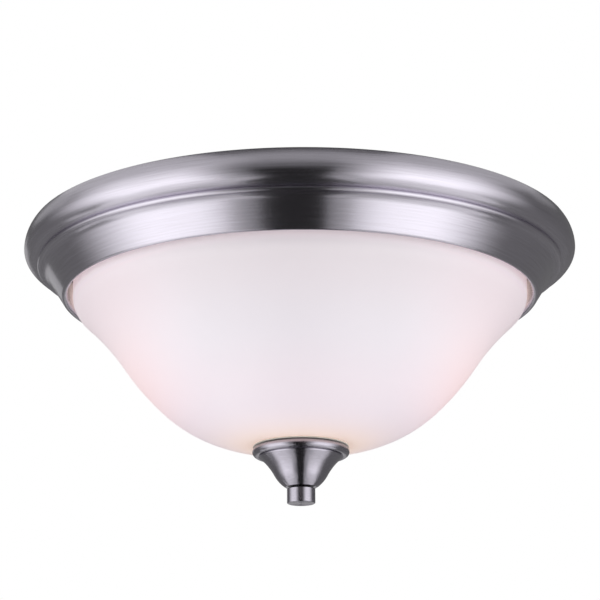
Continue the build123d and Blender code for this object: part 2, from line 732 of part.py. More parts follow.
lamp_pieces = {
    "socket_body": socket_body(),
    "screw_shell": screw_shell(),
    "center_contact": center_contact(),
    "socket_bracket": socket_bracket(),
    "bulb_tip": lamp_tip(),
    "bulb_insulator": lamp_insulator(),
    "bulb_cap": lamp_cap(),
    "bulb_envelope": lamp_envelope(),
}
for name, piece in lamp_pieces.items():
    for number, copy in enumerate(both_ends(first_lamp * piece), start=1):
        write(f"{name}_{number}", copy)
write("socket_screws", both_ends(first_lamp * socket_screw()))
write("bracket_rivets", [copy for rivet in bracket_rivets() for copy in both_ends(rivet)])

write("wire_bushings", both_ends(wire_bushing()))
for color, connector in zip(("black", "white"), both_ends(wire_connector())):
    write(f"wire_connector_{color}", connector)
upper_leads = both_ends(lead("upper lead", upper_lead, LEAD_R))
lower_leads = both_ends(lead("lower lead", lower_lead, LEAD_R))
write("lead_black_1", upper_leads[0])
write("lead_white_2", upper_leads[1])
write("lead_white_1", lower_leads[0])
write("lead_black_2", lower_leads[1])
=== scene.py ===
# %% [markdown]
# # A flush ceiling light
# A spun canopy of brushed nickel lies against the ceiling. Below it hangs a bowl of opal glass, held on a
# threaded rod by a bell cup and a turned knob. Inside are a white reflector plate, two lamps in porcelain
# holders and their wiring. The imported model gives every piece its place, in metres, with the ceiling at zero.

# %% Load the frame
import json
import math

import bmesh
import bpy
from mathutils import Matrix, Vector, noise


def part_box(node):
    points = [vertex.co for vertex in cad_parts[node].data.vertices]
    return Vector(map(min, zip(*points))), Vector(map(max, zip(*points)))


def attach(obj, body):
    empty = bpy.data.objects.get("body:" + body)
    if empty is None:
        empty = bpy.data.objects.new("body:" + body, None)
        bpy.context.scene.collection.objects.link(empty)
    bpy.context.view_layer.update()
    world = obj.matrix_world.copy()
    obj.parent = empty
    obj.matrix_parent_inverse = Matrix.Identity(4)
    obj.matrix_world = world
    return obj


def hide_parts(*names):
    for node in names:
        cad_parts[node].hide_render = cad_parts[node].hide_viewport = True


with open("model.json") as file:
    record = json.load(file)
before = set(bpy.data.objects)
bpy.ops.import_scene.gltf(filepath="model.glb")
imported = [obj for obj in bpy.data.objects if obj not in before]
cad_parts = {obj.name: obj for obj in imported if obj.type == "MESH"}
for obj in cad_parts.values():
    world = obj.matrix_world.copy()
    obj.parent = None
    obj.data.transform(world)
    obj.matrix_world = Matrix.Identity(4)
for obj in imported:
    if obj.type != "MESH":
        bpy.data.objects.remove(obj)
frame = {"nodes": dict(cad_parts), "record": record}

MM = 0.001
scene = bpy.context.scene
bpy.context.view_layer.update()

# %% [markdown]
# Every finish is a material made of nodes. Colours are written as a screen shows them, so one function turns
# a hex value into the linear numbers that light adds up in. Another adds a node, sets its properties and
# fills or links its inputs, so that each finish below reads as a short recipe.

# %% Colours and nodes
def color(hex_value):
    """A linear colour from an sRGB hex value."""
    parts = [int(hex_value[i:i + 2], 16) / 255 for i in (1, 3, 5)]
    linear = [v / 12.92 if v <= 0.04045 else ((v + 0.055) / 1.055) ** 2.4 for v in parts]
    return (*linear, 1.0)


def add(tree, kind, inputs=None, **settings):
    """Adds a node with its settings, and with values or links for its inputs."""
    node = tree.nodes.new("ShaderNode" + kind)
    for name, value in settings.items():
        setattr(node, name, value)
    for name, value in (inputs or {}).items():
        if isinstance(value, bpy.types.NodeSocket):
            tree.links.new(value, node.inputs[name])
        else:
            node.inputs[name].default_value = value
    return node


def new_material(name):
    """An empty material, and the tree that its recipe fills."""
    material = bpy.data.materials.new(name)
    material.use_nodes = True
    material.node_tree.nodes.clear()
    return material, material.node_tree


def paint(material, *names):
    """Gives CAD pieces a material."""
    for name in names:
        frame["nodes"][name].data.materials.clear()
        frame["nodes"][name].data.materials.append(material)
    print(material.name, "on", ", ".join(names))


print("middle grey of a screen is linear", round(color("#808080")[0], 3))

# %% [markdown]
# The camera stands where the photographer's did: below the light and in front of it, looking up, with a long
# lens. Its place was found by matching the outlines of the canopy, the bowl and the cup. The picture leans by
# a third of a degree, so the camera does too.

# %% Camera
CAMERA_PLACE = (0.0, -1.3441, -0.4306)
CAMERA_TILT = 16.22
CAMERA_ROLL = -0.34
CAMERA_LENS = 140.1
CAMERA_SENSOR = 36.0

camera = bpy.data.objects.new("camera", bpy.data.cameras.new("camera"))
camera.data.lens = CAMERA_LENS
camera.data.sensor_width = CAMERA_SENSOR
upright = Matrix.Rotation(math.radians(90 + CAMERA_TILT), 4, "X")
leaning = Matrix.Rotation(math.radians(CAMERA_ROLL), 4, "Z")
camera.matrix_world = Matrix.Translation(CAMERA_PLACE) @ upright @ leaning
scene.collection.objects.link(camera)
scene.camera = camera
scene.view_settings.view_transform = "Standard"
print("lens", CAMERA_LENS, "mm, distance", round(Vector(CAMERA_PLACE).length, 2), "m")

# %% [markdown]
# The white ground is the world. The camera, mirrors and glass see it at full white, while it lights the
# object at a lower level, so the picture stays white without washing the colours out.

# %% World
FILL_LIGHT = 0.35
WHITE = (1, 1, 1, 1)


def shows(tree):
    """Tells whether a ray comes from the camera, a mirror or glass, and so shows what it meets."""
    rays = add(tree, "LightPath")
    mirror = add(
        tree,
        "Math",
        {0: rays.outputs["Is Glossy Ray"], 1: rays.outputs["Is Transmission Ray"]},
        operation="MAXIMUM",
    )
    shown = add(
        tree, "Math", {0: rays.outputs["Is Camera Ray"], 1: mirror.outputs[0]}, operation="MAXIMUM"
    )
    return shown.outputs[0]


world = bpy.data.worlds.new("white_ground")
scene.world = world
world.use_nodes = True
tree = world.node_tree
tree.nodes.clear()
level = add(tree, "MapRange", {"Value": shows(tree), "To Min": FILL_LIGHT, "To Max": 1.0})
sky = add(tree, "Background", {"Color": WHITE, "Strength": level.outputs[0]})
add(tree, "OutputWorld", {"Surface": sky.outputs[0]})
print("world shows at 1.0 and lights at", FILL_LIGHT)

# %% [markdown]
# Everything made here is a mesh built by operators. One function turns it into an object, and another winds
# a shape round the vertical axis, as a lathe does.

# %% Meshes
def mesh_object(name, bm, material, smooth_angle=None):
    """Turns a bmesh into a finished object, with edges sharper than the angle left hard."""
    mesh = bpy.data.meshes.new(name)
    if smooth_angle is not None:
        for edge in bm.edges:
            edge.smooth = edge.calc_face_angle(math.pi) < math.radians(smooth_angle)
        for face in bm.faces:
            face.smooth = True
    bm.to_mesh(mesh)
    bm.free()
    mesh.materials.append(material)
    piece = bpy.data.objects.new(name, mesh)
    scene.collection.objects.link(piece)
    return piece


def everything(bm):
    """All of a mesh, as the operators take it."""
    return bm.verts[:] + bm.edges[:] + bm.faces[:]


def wind(bm, turn, steps, rise=0, merge=False):
    """Spins a mesh round the vertical axis by some degrees, while it rises by some mm."""
    bmesh.ops.spin(
        bm,
        geom=everything(bm),
        cent=(0, 0, 0),
        axis=(0, 0, 1),
        dvec=(0, 0, rise * MM / steps),
        angle=math.radians(turn),
        steps=steps,
        use_merge=merge,
    )


print("shapes wind round X and Y", (0, 0))

# %% [markdown]
# A studio picture of metal is a picture of the studio. What the metal shows here is a tent of cards round it,
# which only mirrors see, so its light and dark can be laid out like a drawing. A card is a strip bent round
# the object, wound from one upright edge, or a level sheet.

# %% Cards
FLOOR_LEVEL = -2.4
TENT_R = 2.4
TENT_TOP = 1.5
CARD_STEPS = 48
CARD_SMOOTH = 40


def plain_light(name, glow):
    """The even light of one card."""
    material, tree = new_material(name)
    light = add(tree, "Emission", {"Color": WHITE, "Strength": glow})
    add(tree, "OutputMaterial", {"Surface": light.outputs[0]})
    return material


def card(name, bm, light):
    """Sets up a card that only mirrors see."""
    piece = mesh_object(name, bm, light, CARD_SMOOTH)
    piece.visible_camera = False
    piece.visible_diffuse = False
    piece.visible_shadow = False


def standing_card(name, radius, azimuths, heights, light):
    """A card bent round the object, between two directions that are counted from the front."""
    bm = bmesh.new()
    start = Matrix.Rotation(math.radians(azimuths[0]), 3, "Z") @ Vector((0, -radius, 0))
    bm.edges.new([bm.verts.new((start.x, start.y, height)) for height in heights])
    wind(bm, azimuths[1] - azimuths[0], CARD_STEPS)
    card(name, bm, light)


def level_card(name, corners, height, glow):
    """A level card between two corners."""
    (x0, y0), (x1, y1) = corners
    bm = bmesh.new()
    place = Matrix.Translation(((x0 + x1) / 2, (y0 + y1) / 2, height))
    spread = Matrix.Diagonal((x1 - x0, y1 - y0, 1, 1))
    bmesh.ops.create_grid(bm, x_segments=1, y_segments=1, size=0.5, matrix=place @ spread)
    card(name, bm, plain_light(name + "_light", glow))


print("tent", 2 * TENT_R, "m across and", round(TENT_TOP - FLOOR_LEVEL, 2), "m high")

# %% [markdown]
# Softboxes light the object: a tall one at each side, and a smaller one above for the pieces on top. The
# camera and mirrors don't see them, so the light on the glass and the picture in the metal are tuned apart.

# %% Softboxes
BOX_DISTANCE = 1.5
BOX_LEVEL = Vector((0, 0, -0.75))
BOX_SIZE = (1.6, 3.2)
BOX_GLOW = 1.22
TOP_BOX_PLACE = Vector((0, 0, 1.2))
TOP_BOX_SIZE = (1.0, 1.0)
TOP_BOX_GLOW = 2.0


def softbox(name, out, place, size, glow):
    """A softbox that the camera and mirrors don't see, with its back to the direction given."""
    lamp = bpy.data.lights.new(name, "AREA")
    lamp.shape = "RECTANGLE"
    lamp.size, lamp.size_y = size
    lamp.energy = glow * math.pi * size[0] * size[1]
    holder = bpy.data.objects.new(name, lamp)
    holder.matrix_world = Matrix.Translation(place) @ out.to_track_quat("Z", "Y").to_matrix().to_4x4()
    holder.visible_camera = False
    holder.visible_glossy = False
    scene.collection.objects.link(holder)
    print(name, size, "m, radiance", glow)


for name, azimuth in (("softbox_left", -64), ("softbox_right", 62)):
    out = Matrix.Rotation(math.radians(azimuth), 3, "Z") @ Vector((0, -1, 0))
    softbox(name, out, out * BOX_DISTANCE + BOX_LEVEL, BOX_SIZE, BOX_GLOW)
softbox("softbox_above", Vector((0, 0, 1)), TOP_BOX_PLACE, TOP_BOX_SIZE, TOP_BOX_GLOW)

# %% [markdown]
# The wall of the tent is a diffusing sheet lit from behind. It has two bright fields, left and right, that
# fade out softly and are brighter low down. Each field is one smooth step up minus one smooth step down of
# the angle round the axis.

# %% Diffusing sheet
# A field has the degrees in which it fades in, those in which it fades out, and its glow.
FIELDS = (((-122, -74), (-52, -18), 1.52), ((10, 46), (64, 108), 1.63))
WALL_GLOW = 0.19
LOW_LEVEL = -1.2
LOW_SHARE = 1.05
HIGH_SHARE = 0.68

sheet_light, tree = new_material("diffusing_sheet")
place = add(tree, "TexCoord")
axes = add(tree, "SeparateXYZ", {0: place.outputs["Object"]})
ahead = add(tree, "Math", {0: axes.outputs["Y"], 1: -1.0}, operation="MULTIPLY")
angle = add(tree, "Math", {0: axes.outputs["X"], 1: ahead.outputs[0]}, operation="ARCTAN2")
shine = WALL_GLOW
for *edges, glow in FIELDS:
    rise, fall = [
        add(
            tree,
            "MapRange",
            {"Value": angle.outputs[0], "From Min": math.radians(a), "From Max": math.radians(b)},
            interpolation_type="SMOOTHSTEP",
        )
        for a, b in edges
    ]
    field = add(tree, "Math", {0: rise.outputs[0], 1: fall.outputs[0]}, operation="SUBTRACT")
    shine = add(
        tree, "Math", {0: field.outputs[0], 1: glow, 2: shine}, operation="MULTIPLY_ADD"
    ).outputs[0]
height = add(
    tree,
    "MapRange",
    {
        "Value": axes.outputs["Z"], "From Min": LOW_LEVEL, "From Max": TENT_TOP,
        "To Min": LOW_SHARE, "To Max": HIGH_SHARE,
    },
)
shine = add(tree, "Math", {0: shine, 1: height.outputs[0]}, operation="MULTIPLY")
light = add(tree, "Emission", {"Color": WHITE, "Strength": shine.outputs[0]})
add(tree, "OutputMaterial", {"Surface": light.outputs[0]})
standing_card("tent_wall", TENT_R, (-180, 180), (FLOOR_LEVEL, TENT_TOP), sheet_light)
print("fields", FIELDS)

# %% [markdown]
# Smaller cards hang before the sheet. A black flag in the middle of the front makes the dark bar on the
# canopy. The others are pale and give some light to the ends and the underside of the rolled edge, which look
# behind the object and up to the sides.

# %% Cards before the sheet
CARD_R = 2.2

for name, azimuths, heights, glow in (
    ("black_flag", (-18, 13), (-2.3, 0.35), 0.02),
    ("back_card", (172, 188), (-1.1, -0.2), 0.45),
    ("back_left_card", (-161, -147), (-0.1, 0.6), 0.5),
    ("low_back_card", (-176, -135), (FLOOR_LEVEL, -1.5), 0.8),
    ("upper_left_card", (-145, -112), (0.75, 1.48), 0.5),
    ("upper_right_card", (118, 145), (1.05, 1.48), 0.36),
):
    standing_card(name, CARD_R, azimuths, heights, plain_light(name + "_light", glow))
    print(name, "gives", glow)

# %% [markdown]
# The roof and the floor of the tent are level cards: pale at the sides and dark in the middle, where the dark
# bar has to run on over the rolled edge and the bead. Cards that lie over others are a little higher.

# %% Roof and floor of the tent
MIDDLE = 0.6
ROOF_BREAK = -0.5
FLAG_LEFT = -0.45
FLAG_RIGHT = 0.35
SHADE_LEFT = FLAG_LEFT - 0.5
SHADE_RIGHT = FLAG_RIGHT + 0.5
FRONT_EDGE = -1.4
BASE_LAYER, FLAG_LAYER, SHADE_LAYER, FRONT_LAYER = [FLOOR_LEVEL + up for up in (0.05, 0.1, 0.12, 0.15)]

for name, corners, height, glow in (
    ("roof_left", ((-TENT_R, -TENT_R), (-MIDDLE, TENT_R)), TENT_TOP, 0.65),
    ("roof_right", ((MIDDLE, -TENT_R), (TENT_R, TENT_R)), TENT_TOP, 0.55),
    ("roof_front", ((-MIDDLE, -TENT_R), (MIDDLE, ROOF_BREAK)), TENT_TOP, 0.5),
    ("roof_back", ((-MIDDLE, ROOF_BREAK), (MIDDLE, TENT_R)), TENT_TOP, 0.08),
    ("floor_left", ((-TENT_R, -TENT_R), (SHADE_LEFT, TENT_R)), BASE_LAYER, 1.15),
    ("shade_left", ((SHADE_LEFT, -TENT_R), (FLAG_LEFT, TENT_R)), BASE_LAYER, 0.75),
    ("shade_right", ((FLAG_RIGHT, -TENT_R), (SHADE_RIGHT, TENT_R)), BASE_LAYER, 0.6),
    ("floor_right", ((SHADE_RIGHT, -TENT_R), (TENT_R, TENT_R)), BASE_LAYER, 1.0),
    ("floor_flag", ((FLAG_LEFT, -TENT_R), (FLAG_RIGHT, TENT_R)), FLAG_LAYER, 0.02),
    ("back_shade", ((SHADE_LEFT, 0.8), (-0.3, TENT_R)), SHADE_LAYER, 0.6),
    ("front_shade", ((-1.35, -TENT_R), (1.0, FRONT_EDGE)), SHADE_LAYER, 0.4),
    ("front_flag", ((-0.78, -TENT_R), (0.5, FRONT_EDGE)), FRONT_LAYER, 0.02),
):
    level_card(name, corners, height, glow)
    print(name, "gives", glow)

# %% [markdown]
# The floor lies as far below as in a room, painted in a pale matt grey with the faint clouds of a rolled
# coat. Like the world it shows paler than it lights, so that it doesn't shine up on the glass.

# %% Floor
FLOOR_SIZE = 30.0
FLOOR_CLOUD = 300 * MM
FLOOR_LIFT = 0.45

floor_paint, tree = new_material("floor_paint")
place = add(tree, "TexCoord")
cloud = add(tree, "TexNoise", {"Vector": place.outputs["Object"], "Scale": 1 / FLOOR_CLOUD})
pale, paler = color("#efeeec"), color("#f5f4f2")
tone = add(tree, "MixRGB", {"Fac": cloud.outputs["Fac"], "Color1": pale, "Color2": paler})
lift = add(tree, "Math", {0: shows(tree), 1: FLOOR_LIFT}, operation="MULTIPLY")
matt = add(
    tree,
    "BsdfPrincipled",
    {
        "Base Color": tone.outputs[0], "Roughness": 0.7,
        "Emission Color": tone.outputs[0], "Emission Strength": lift.outputs[0],
    },
)
add(tree, "OutputMaterial", {"Surface": matt.outputs[0]})

bm = bmesh.new()
low_down = Matrix.Translation((0, 0, FLOOR_LEVEL))
bmesh.ops.create_grid(bm, x_segments=4, y_segments=4, size=FLOOR_SIZE / 2, matrix=low_down)
mesh_object("floor", bm, floor_paint)
print("floor", FLOOR_SIZE, "m wide, at", FLOOR_LEVEL, "m")

# %% [markdown]
# Most pieces of this light are turned, spun or pressed, so most begin as an outline that is spun round an
# axis. The outline is drawn like a path on the floor: run straight on, turn on the spot, or go through a bend
# of some radius. Each move is one operator, so the outline needs no list of points. Left turns are positive.

# %% Outlines and the lathe
STEP_ANGLE = 8.0
FINE_STEP = 3.0
MERGE = 0.0005 * MM


def verts_of(parts):
    """The vertices among some parts of a mesh."""
    return [v for v in parts if isinstance(v, bmesh.types.BMVert)]


def draw(bm, start, heading, moves, step_angle=STEP_ANGLE):
    """Draws an outline in the plane of radius and height, in mm, and gives its last vertex.

    A move is a run (length,), a run in several steps (length, count), or a bend or corner {turn: radius}.
    """
    pen = bm.verts.new((start[0] * MM, 0, start[1] * MM))
    for move in moves:
        if isinstance(move, dict):
            (turn, radius), = move.items()
            if radius:
                angle = math.radians(heading + math.copysign(90, turn))
                center = pen.co + radius * MM * Vector((math.cos(angle), 0, math.sin(angle)))
                steps = max(2, math.ceil(abs(turn) / step_angle))
                made = bmesh.ops.spin(
                    bm, geom=[pen], cent=center, axis=(0, -1, 0), angle=math.radians(turn), steps=steps
                )
                pen = verts_of(made["geom_last"])[0]
            heading += turn
        else:
            length, count = (*move, 1)[:2]
            stride = length / count * MM
            angle = math.radians(heading)
            for _ in range(count):
                end = bmesh.ops.extrude_vert_indiv(bm, verts=[pen])["verts"][0]
                end.co = pen.co + stride * Vector((math.cos(angle), 0, math.sin(angle)))
                pen = end
    return pen


def lathe(bm, steps):
    """Spins an outline once round the vertical axis, closes the seam and turns the faces outwards."""
    bmesh.ops.remove_doubles(bm, verts=bm.verts, dist=MERGE)
    wind(bm, 360, steps, merge=True)
    bmesh.ops.remove_doubles(bm, verts=bm.verts, dist=MERGE)
    bmesh.ops.recalc_face_normals(bm, faces=bm.faces)


print("bends take steps of", STEP_ANGLE, "degrees, or", FINE_STEP, "where the picture shows them")

# %% [markdown]
# A dressed piece takes the place of a solid of the imported model: it rides on the same body and takes the
# material it is given. Its box is compared with the solid's, so that a slip in an outline shows up.

# %% Dressed pieces
def at(x, y, z):
    """A place in mm."""
    return Matrix.Translation((x * MM, y * MM, z * MM))


def copies(bm, places):
    """Sets a shape at each of several places."""
    shape = everything(bm)
    corners = bm.verts[:]
    for place in places[1:]:
        made = bmesh.ops.duplicate(bm, geom=shape)["geom"]
        bmesh.ops.transform(bm, matrix=place, verts=verts_of(made))
    bmesh.ops.transform(bm, matrix=places[0], verts=corners)


def stand_for(node, bm, material, smooth_angle=35):
    """Makes a piece that takes a CAD node's place, and tells how far their sizes differ."""
    piece = mesh_object(node + "_made", bm, material, smooth_angle)
    body = next(b for b, nodes in frame["record"]["behaviour"]["bodies"].items() if node in nodes)
    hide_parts(node)
    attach(piece, body)
    low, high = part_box(node)
    points = [v.co for v in piece.data.vertices]
    gap = max(
        max(abs(min(p[i] for p in points) - low[i]), abs(max(p[i] for p in points) - high[i]))
        for i in range(3)
    )
    print(node, "faces", len(piece.data.polygons), "differs by mm", round(gap / MM, 2))
    return piece


# %% [markdown]
# Brushed nickel: the canopy, cup and knob are spun on a lathe and brushed while they turn, so fine scratches
# run round the axis. They spread a reflection up and down but not sideways, which is why the dark bar runs
# across every bend. The shader's anisotropy does that, and a noise stretched round the axis draws the lines.

# %% Brushed nickel
# A line of the brushing is about 0.2 mm wide. It is drawn at 0.9 mm on the canopy and at 0.5 mm on the cup
# and the knob, so that it shows at this picture's size.
BRUSH_LENGTHS = 5.0
BRUSH_GLOSS = (0.18, 0.3)
BRUSH_DEPTH = 0.05 * MM
# Where the knob's neck lies, and how far the band of painted shade there reaches up and down.
NECK_SHADE_MIDDLE = -154.64 * MM
NECK_SHADE_HALF = 0.6 * MM


def brushed_nickel(name, dark, light, line):
    """Nickel brushed round the axis, in lines of some width, with painted shade in the knob's neck."""
    material, tree = new_material(name)
    place = add(tree, "TexCoord")
    axes = add(tree, "SeparateXYZ", {0: place.outputs["Object"]})
    flat = add(tree, "CombineXYZ", {"X": axes.outputs["X"], "Y": axes.outputs["Y"]})
    radius = add(tree, "VectorMath", {0: flat.outputs[0]}, operation="LENGTH")
    around = add(tree, "VectorMath", {0: flat.outputs[0]}, operation="NORMALIZE")
    turn = add(tree, "SeparateXYZ", {0: around.outputs[0]})
    lane_x, lane_y, outward, upward = [
        add(tree, "Math", {0: value, 1: scale}, operation="MULTIPLY").outputs[0]
        for value, scale in (
            (turn.outputs["X"], BRUSH_LENGTHS),
            (turn.outputs["Y"], BRUSH_LENGTHS),
            (radius.outputs["Value"], 1 / line),
            (axes.outputs["Z"], 1 / line),
        )
    ]
    lane = add(tree, "CombineXYZ", {"X": lane_x, "Y": lane_y, "Z": outward})
    lines = add(
        tree,
        "TexNoise",
        {"Vector": lane.outputs[0], "W": upward, "Scale": 1.0, "Detail": 2.0},
        noise_dimensions="4D",
    )
    share = lines.outputs["Fac"]
    tone = add(tree, "MixRGB", {"Fac": share, "Color1": color(dark), "Color2": color(light)})
    # The knob's neck is painted near black: painted shade for the dark gap between the cup and the knob.
    neck_shade_mask = add(
        tree, "Math", {0: axes.outputs["Z"], 1: NECK_SHADE_MIDDLE, 2: NECK_SHADE_HALF}, operation="COMPARE"
    )
    painted_neck_shade = color("#1d1c1f")
    tone = add(tree, "MixRGB", {"Fac": neck_shade_mask.outputs[0], "Color1": tone.outputs[0], "Color2": painted_neck_shade})
    gloss = add(tree, "MapRange", {"Value": share, "To Min": BRUSH_GLOSS[0], "To Max": BRUSH_GLOSS[1]})
    scratch = add(tree, "Bump", {"Height": share, "Strength": 0.06, "Distance": BRUSH_DEPTH})
    round_axis = add(tree, "Tangent", direction_type="RADIAL", axis="Z")
    satin = add(
        tree,
        "BsdfPrincipled",
        {
            "Base Color": tone.outputs[0], "Metallic": 1.0, "Roughness": gloss.outputs[0],
            "Anisotropic": 0.93, "Anisotropic Rotation": 0.25,
            "Tangent": round_axis.outputs[0], "Normal": scratch.outputs[0],
        },
    )
    add(tree, "OutputMaterial", {"Surface": satin.outputs[0]})
    return material


canopy_nickel = brushed_nickel("brushed_nickel", "#b8b3bc", "#d1cdd8", 0.9 * MM)
# The cup and the knob take a darker copy of the canopy's nickel, which paints shade on them.
shaded_fine_nickel = brushed_nickel("shaded_fine_brushed_nickel", "#a39fa8", "#b9b5c0", 0.5 * MM)
print("finishes", canopy_nickel.name, shaded_fine_nickel.name)

# %% [markdown]
# The canopy is sheet metal pressed against a turning form, so its section is one line of bends: a flat ring
# on the ceiling, the rolled edge, a groove, a bead, a cove and a lip that curls under. The line is spun and
# the sheet gets its thickness inwards. Spinning gives even rings of faces, which keep long reflections clean.

# %% Canopy
CANOPY_SHEET = 0.9
CANOPY_STEPS = 256
FLANGE_R = 143.95
FLANGE_DROP = 0.02

bm = bmesh.new()
draw(
    bm,
    (FLANGE_R, -FLANGE_DROP),
    0,
    [
        (14.5, 2),  # flat ring
        {-52.55: 3.5}, {-37.45: 18.3}, {-80: 7.8},  # rolled edge
        {5.4: 0}, (2.3,), {134.6: 0},  # groove
        {-135: 1.45}, {-15: 0},  # bead
        {58.01: 6.0}, (16.11, 6),  # cove
        {-148.01: 1.95}, (15.0, 4),  # lip and its inner wall
    ],
    FINE_STEP,
)
lathe(bm, CANOPY_STEPS)
bmesh.ops.solidify(bm, geom=bm.faces[:], thickness=CANOPY_SHEET * MM)
bmesh.ops.recalc_face_normals(bm, faces=bm.faces)
stand_for("canopy", bm, canopy_nickel)

# %% [markdown]
# The bell cup is spun too. Its rim curls over to a round edge that presses on the rubber ring under the
# glass, and the bell runs down to the small flat base where the knob sits.

# %% Bell cup
CUP_SHEET = 0.9
CUP_STEPS = 160
CUP_BORE = 3.5
CURL_START = (23.38, -132.378)

bm = bmesh.new()
pen = draw(
    bm,
    CURL_START,
    80,
    [
        {-310: 2.66},  # curled rim
        {123: 0}, (0.4,), {49: 0},  # crease
        {-80: 1.3}, {20: 37.0}, {-28: 20.0},  # shoulder and bell
    ],
    FINE_STEP,
)
base = bmesh.ops.extrude_vert_indiv(bm, verts=[pen])["verts"][0]
base.co = (CUP_BORE * MM, 0, pen.co.z)
lathe(bm, CUP_STEPS)
bmesh.ops.solidify(bm, geom=bm.faces[:], thickness=CUP_SHEET * MM)
bmesh.ops.recalc_face_normals(bm, faces=bm.faces)
stand_for("finial_cup", bm, shaded_fine_nickel)

# %% [markdown]
# The knob is turned from bar: a narrow neck against the cup, a short body with broken edges, and a blind
# threaded bore for the rod.

# %% Knob
KNOB_STEPS = 96
BORE_END = -161.02

bm = bmesh.new()
draw(
    bm,
    (0, BORE_END),
    0,
    [
        (3.08,), {90: 0}, (7.0,), {-90: 0},  # bore
        (1.92,), {-90: 0}, (0.8,), {90: 0}, (2.9,),  # neck
        {-90: 0.4}, (7.7,), {-90: 0.6}, (7.7,),  # body and end
    ],
    FINE_STEP,
)
lathe(bm, KNOB_STEPS)
stand_for("finial_knob", bm, shaded_fine_nickel)

# %% [markdown]
# Opal glass: white glass with a satin skin. The light of the lamps behind it is painted on as a glow of
# the glass's own, and how much of it shows differs from zone to zone. A zone is one soft step of a height,
# of a distance to the side, or of a distance from the axis.

# %% Zones of the opal glass
CLOUD_SIZE = 110 * MM

opal_glass, tree = new_material("opal_glass")
place = add(tree, "TexCoord")
axes = add(tree, "SeparateXYZ", {0: place.outputs["Object"]})
flat = add(tree, "CombineXYZ", {"X": axes.outputs["X"], "Y": axes.outputs["Y"]})
radius = add(tree, "VectorMath", {0: flat.outputs[0]}, operation="LENGTH")
sideways = add(tree, "Math", {0: axes.outputs["X"]}, operation="ABSOLUTE")
cloud = add(
    tree, "TexNoise", {"Vector": place.outputs["Object"], "Scale": 1 / CLOUD_SIZE, "Detail": 1.0}
)
thin, milky = color("#ede6eb"), color("#f2ebf0")
tone = add(tree, "MixRGB", {"Fac": cloud.outputs["Fac"], "Color1": thin, "Color2": milky})
zones = [
    add(
        tree,
        "MapRange",
        {"Value": value, "From Min": start * MM, "From Max": end * MM, "To Min": least},
        interpolation_type="SMOOTHSTEP",
    ).outputs[0]
    for value, start, end, least in (
        (axes.outputs["Z"], -48, -78, 0.0),
        (axes.outputs["Z"], -112, -82, 0.0),
        (sideways.outputs[0], 45, 112, 0.0),
        (axes.outputs["Z"], -42, -120, 0.32),
        (radius.outputs["Value"], 70, 26, 0.0),
        (axes.outputs["Z"], -45.5, -40.5, 0.0),
        (axes.outputs["Z"], -38, -33, 0.0),
    )
]
# The zone under the lip paints light into the shade that the lip casts on the glass.
below_top, above_bottom, side, low, near_cup, under_lip_painted_light, edge = zones
# The zone at the rim paints light that only mirrors see, for the inside of the lip to reflect.
rays = add(tree, "LightPath")
middle, low_side, rim = [
    add(tree, "Math", {0: one, 1: other}, operation="MULTIPLY").outputs[0]
    for one, other in ((below_top, above_bottom), (side, low), (edge, rays.outputs["Is Glossy Ray"]))
]
print("glass has", len(zones), "soft steps")

# %% [markdown]
# Half-way down the glass the painted glow is a cool white. Low down at both sides, round the cup and along the
# rim it is painted warmer, as lamplight that has gone through more glass and has lost some of its blue. Just
# under the canopy's lip, where the lip shades the glass, a little glow is painted to lighten that shade. Each
# tint and glow is laid over the ones before. The rim's painted glow is for the bright inside of the lip, so
# only mirrors see it: it paints the light that the lip reflects.

# %% Painted glow of the opal glass
GLOW_TOP, GLOW_BOTTOM = -45 * MM, -130 * MM
GLOW_LEAST, GLOW_MOST = 0.03, 0.17

painted_glow_tint = color("#fbdcf6")
glow = add(
    tree,
    "MapRange",
    {
        "Value": axes.outputs["Z"], "From Min": GLOW_TOP, "From Max": GLOW_BOTTOM,
        "To Min": GLOW_LEAST, "To Max": GLOW_MOST,
    },
).outputs[0]
# Each zone paints a glow of its own tint over the glass: painted light, not light from the lamps.
for zone, hue, strength in (
    (middle, "#e6e6ff", 0.01),
    (low_side, "#ffa48c", 0.28),
    (near_cup, "#ffc489", 0.12),
    (under_lip_painted_light, "#fbe6ec", 0.1),
    (rim, "#ffe8d4", 0.75),
):
    painted_glow_tint = add(tree, "MixRGB", {"Fac": zone, "Color1": painted_glow_tint, "Color2": color(hue)}).outputs[0]
    glow = add(tree, "Math", {0: zone, 1: strength, 2: glow}, operation="MULTIPLY_ADD").outputs[0]
satin = add(
    tree,
    "BsdfPrincipled",
    {
        "Base Color": tone.outputs[0], "Roughness": 0.4, "IOR": 1.5,
        "Emission Color": painted_glow_tint, "Emission Strength": glow,
    },
)
add(tree, "OutputMaterial", {"Surface": satin.outputs[0]})
paint(opal_glass, "glass_bowl")

# %% [markdown]
# The other finishes share one recipe: a pattern of a real grain size varies the colour, the gloss and the
# height. What differs is the grain, how it is stretched, and the shader's plain values. The first is the
# white enamel of the reflector plate, sprayed and baked: a clean warm white whose gloss breaks up in a very
# fine ripple, like the skin of an orange.

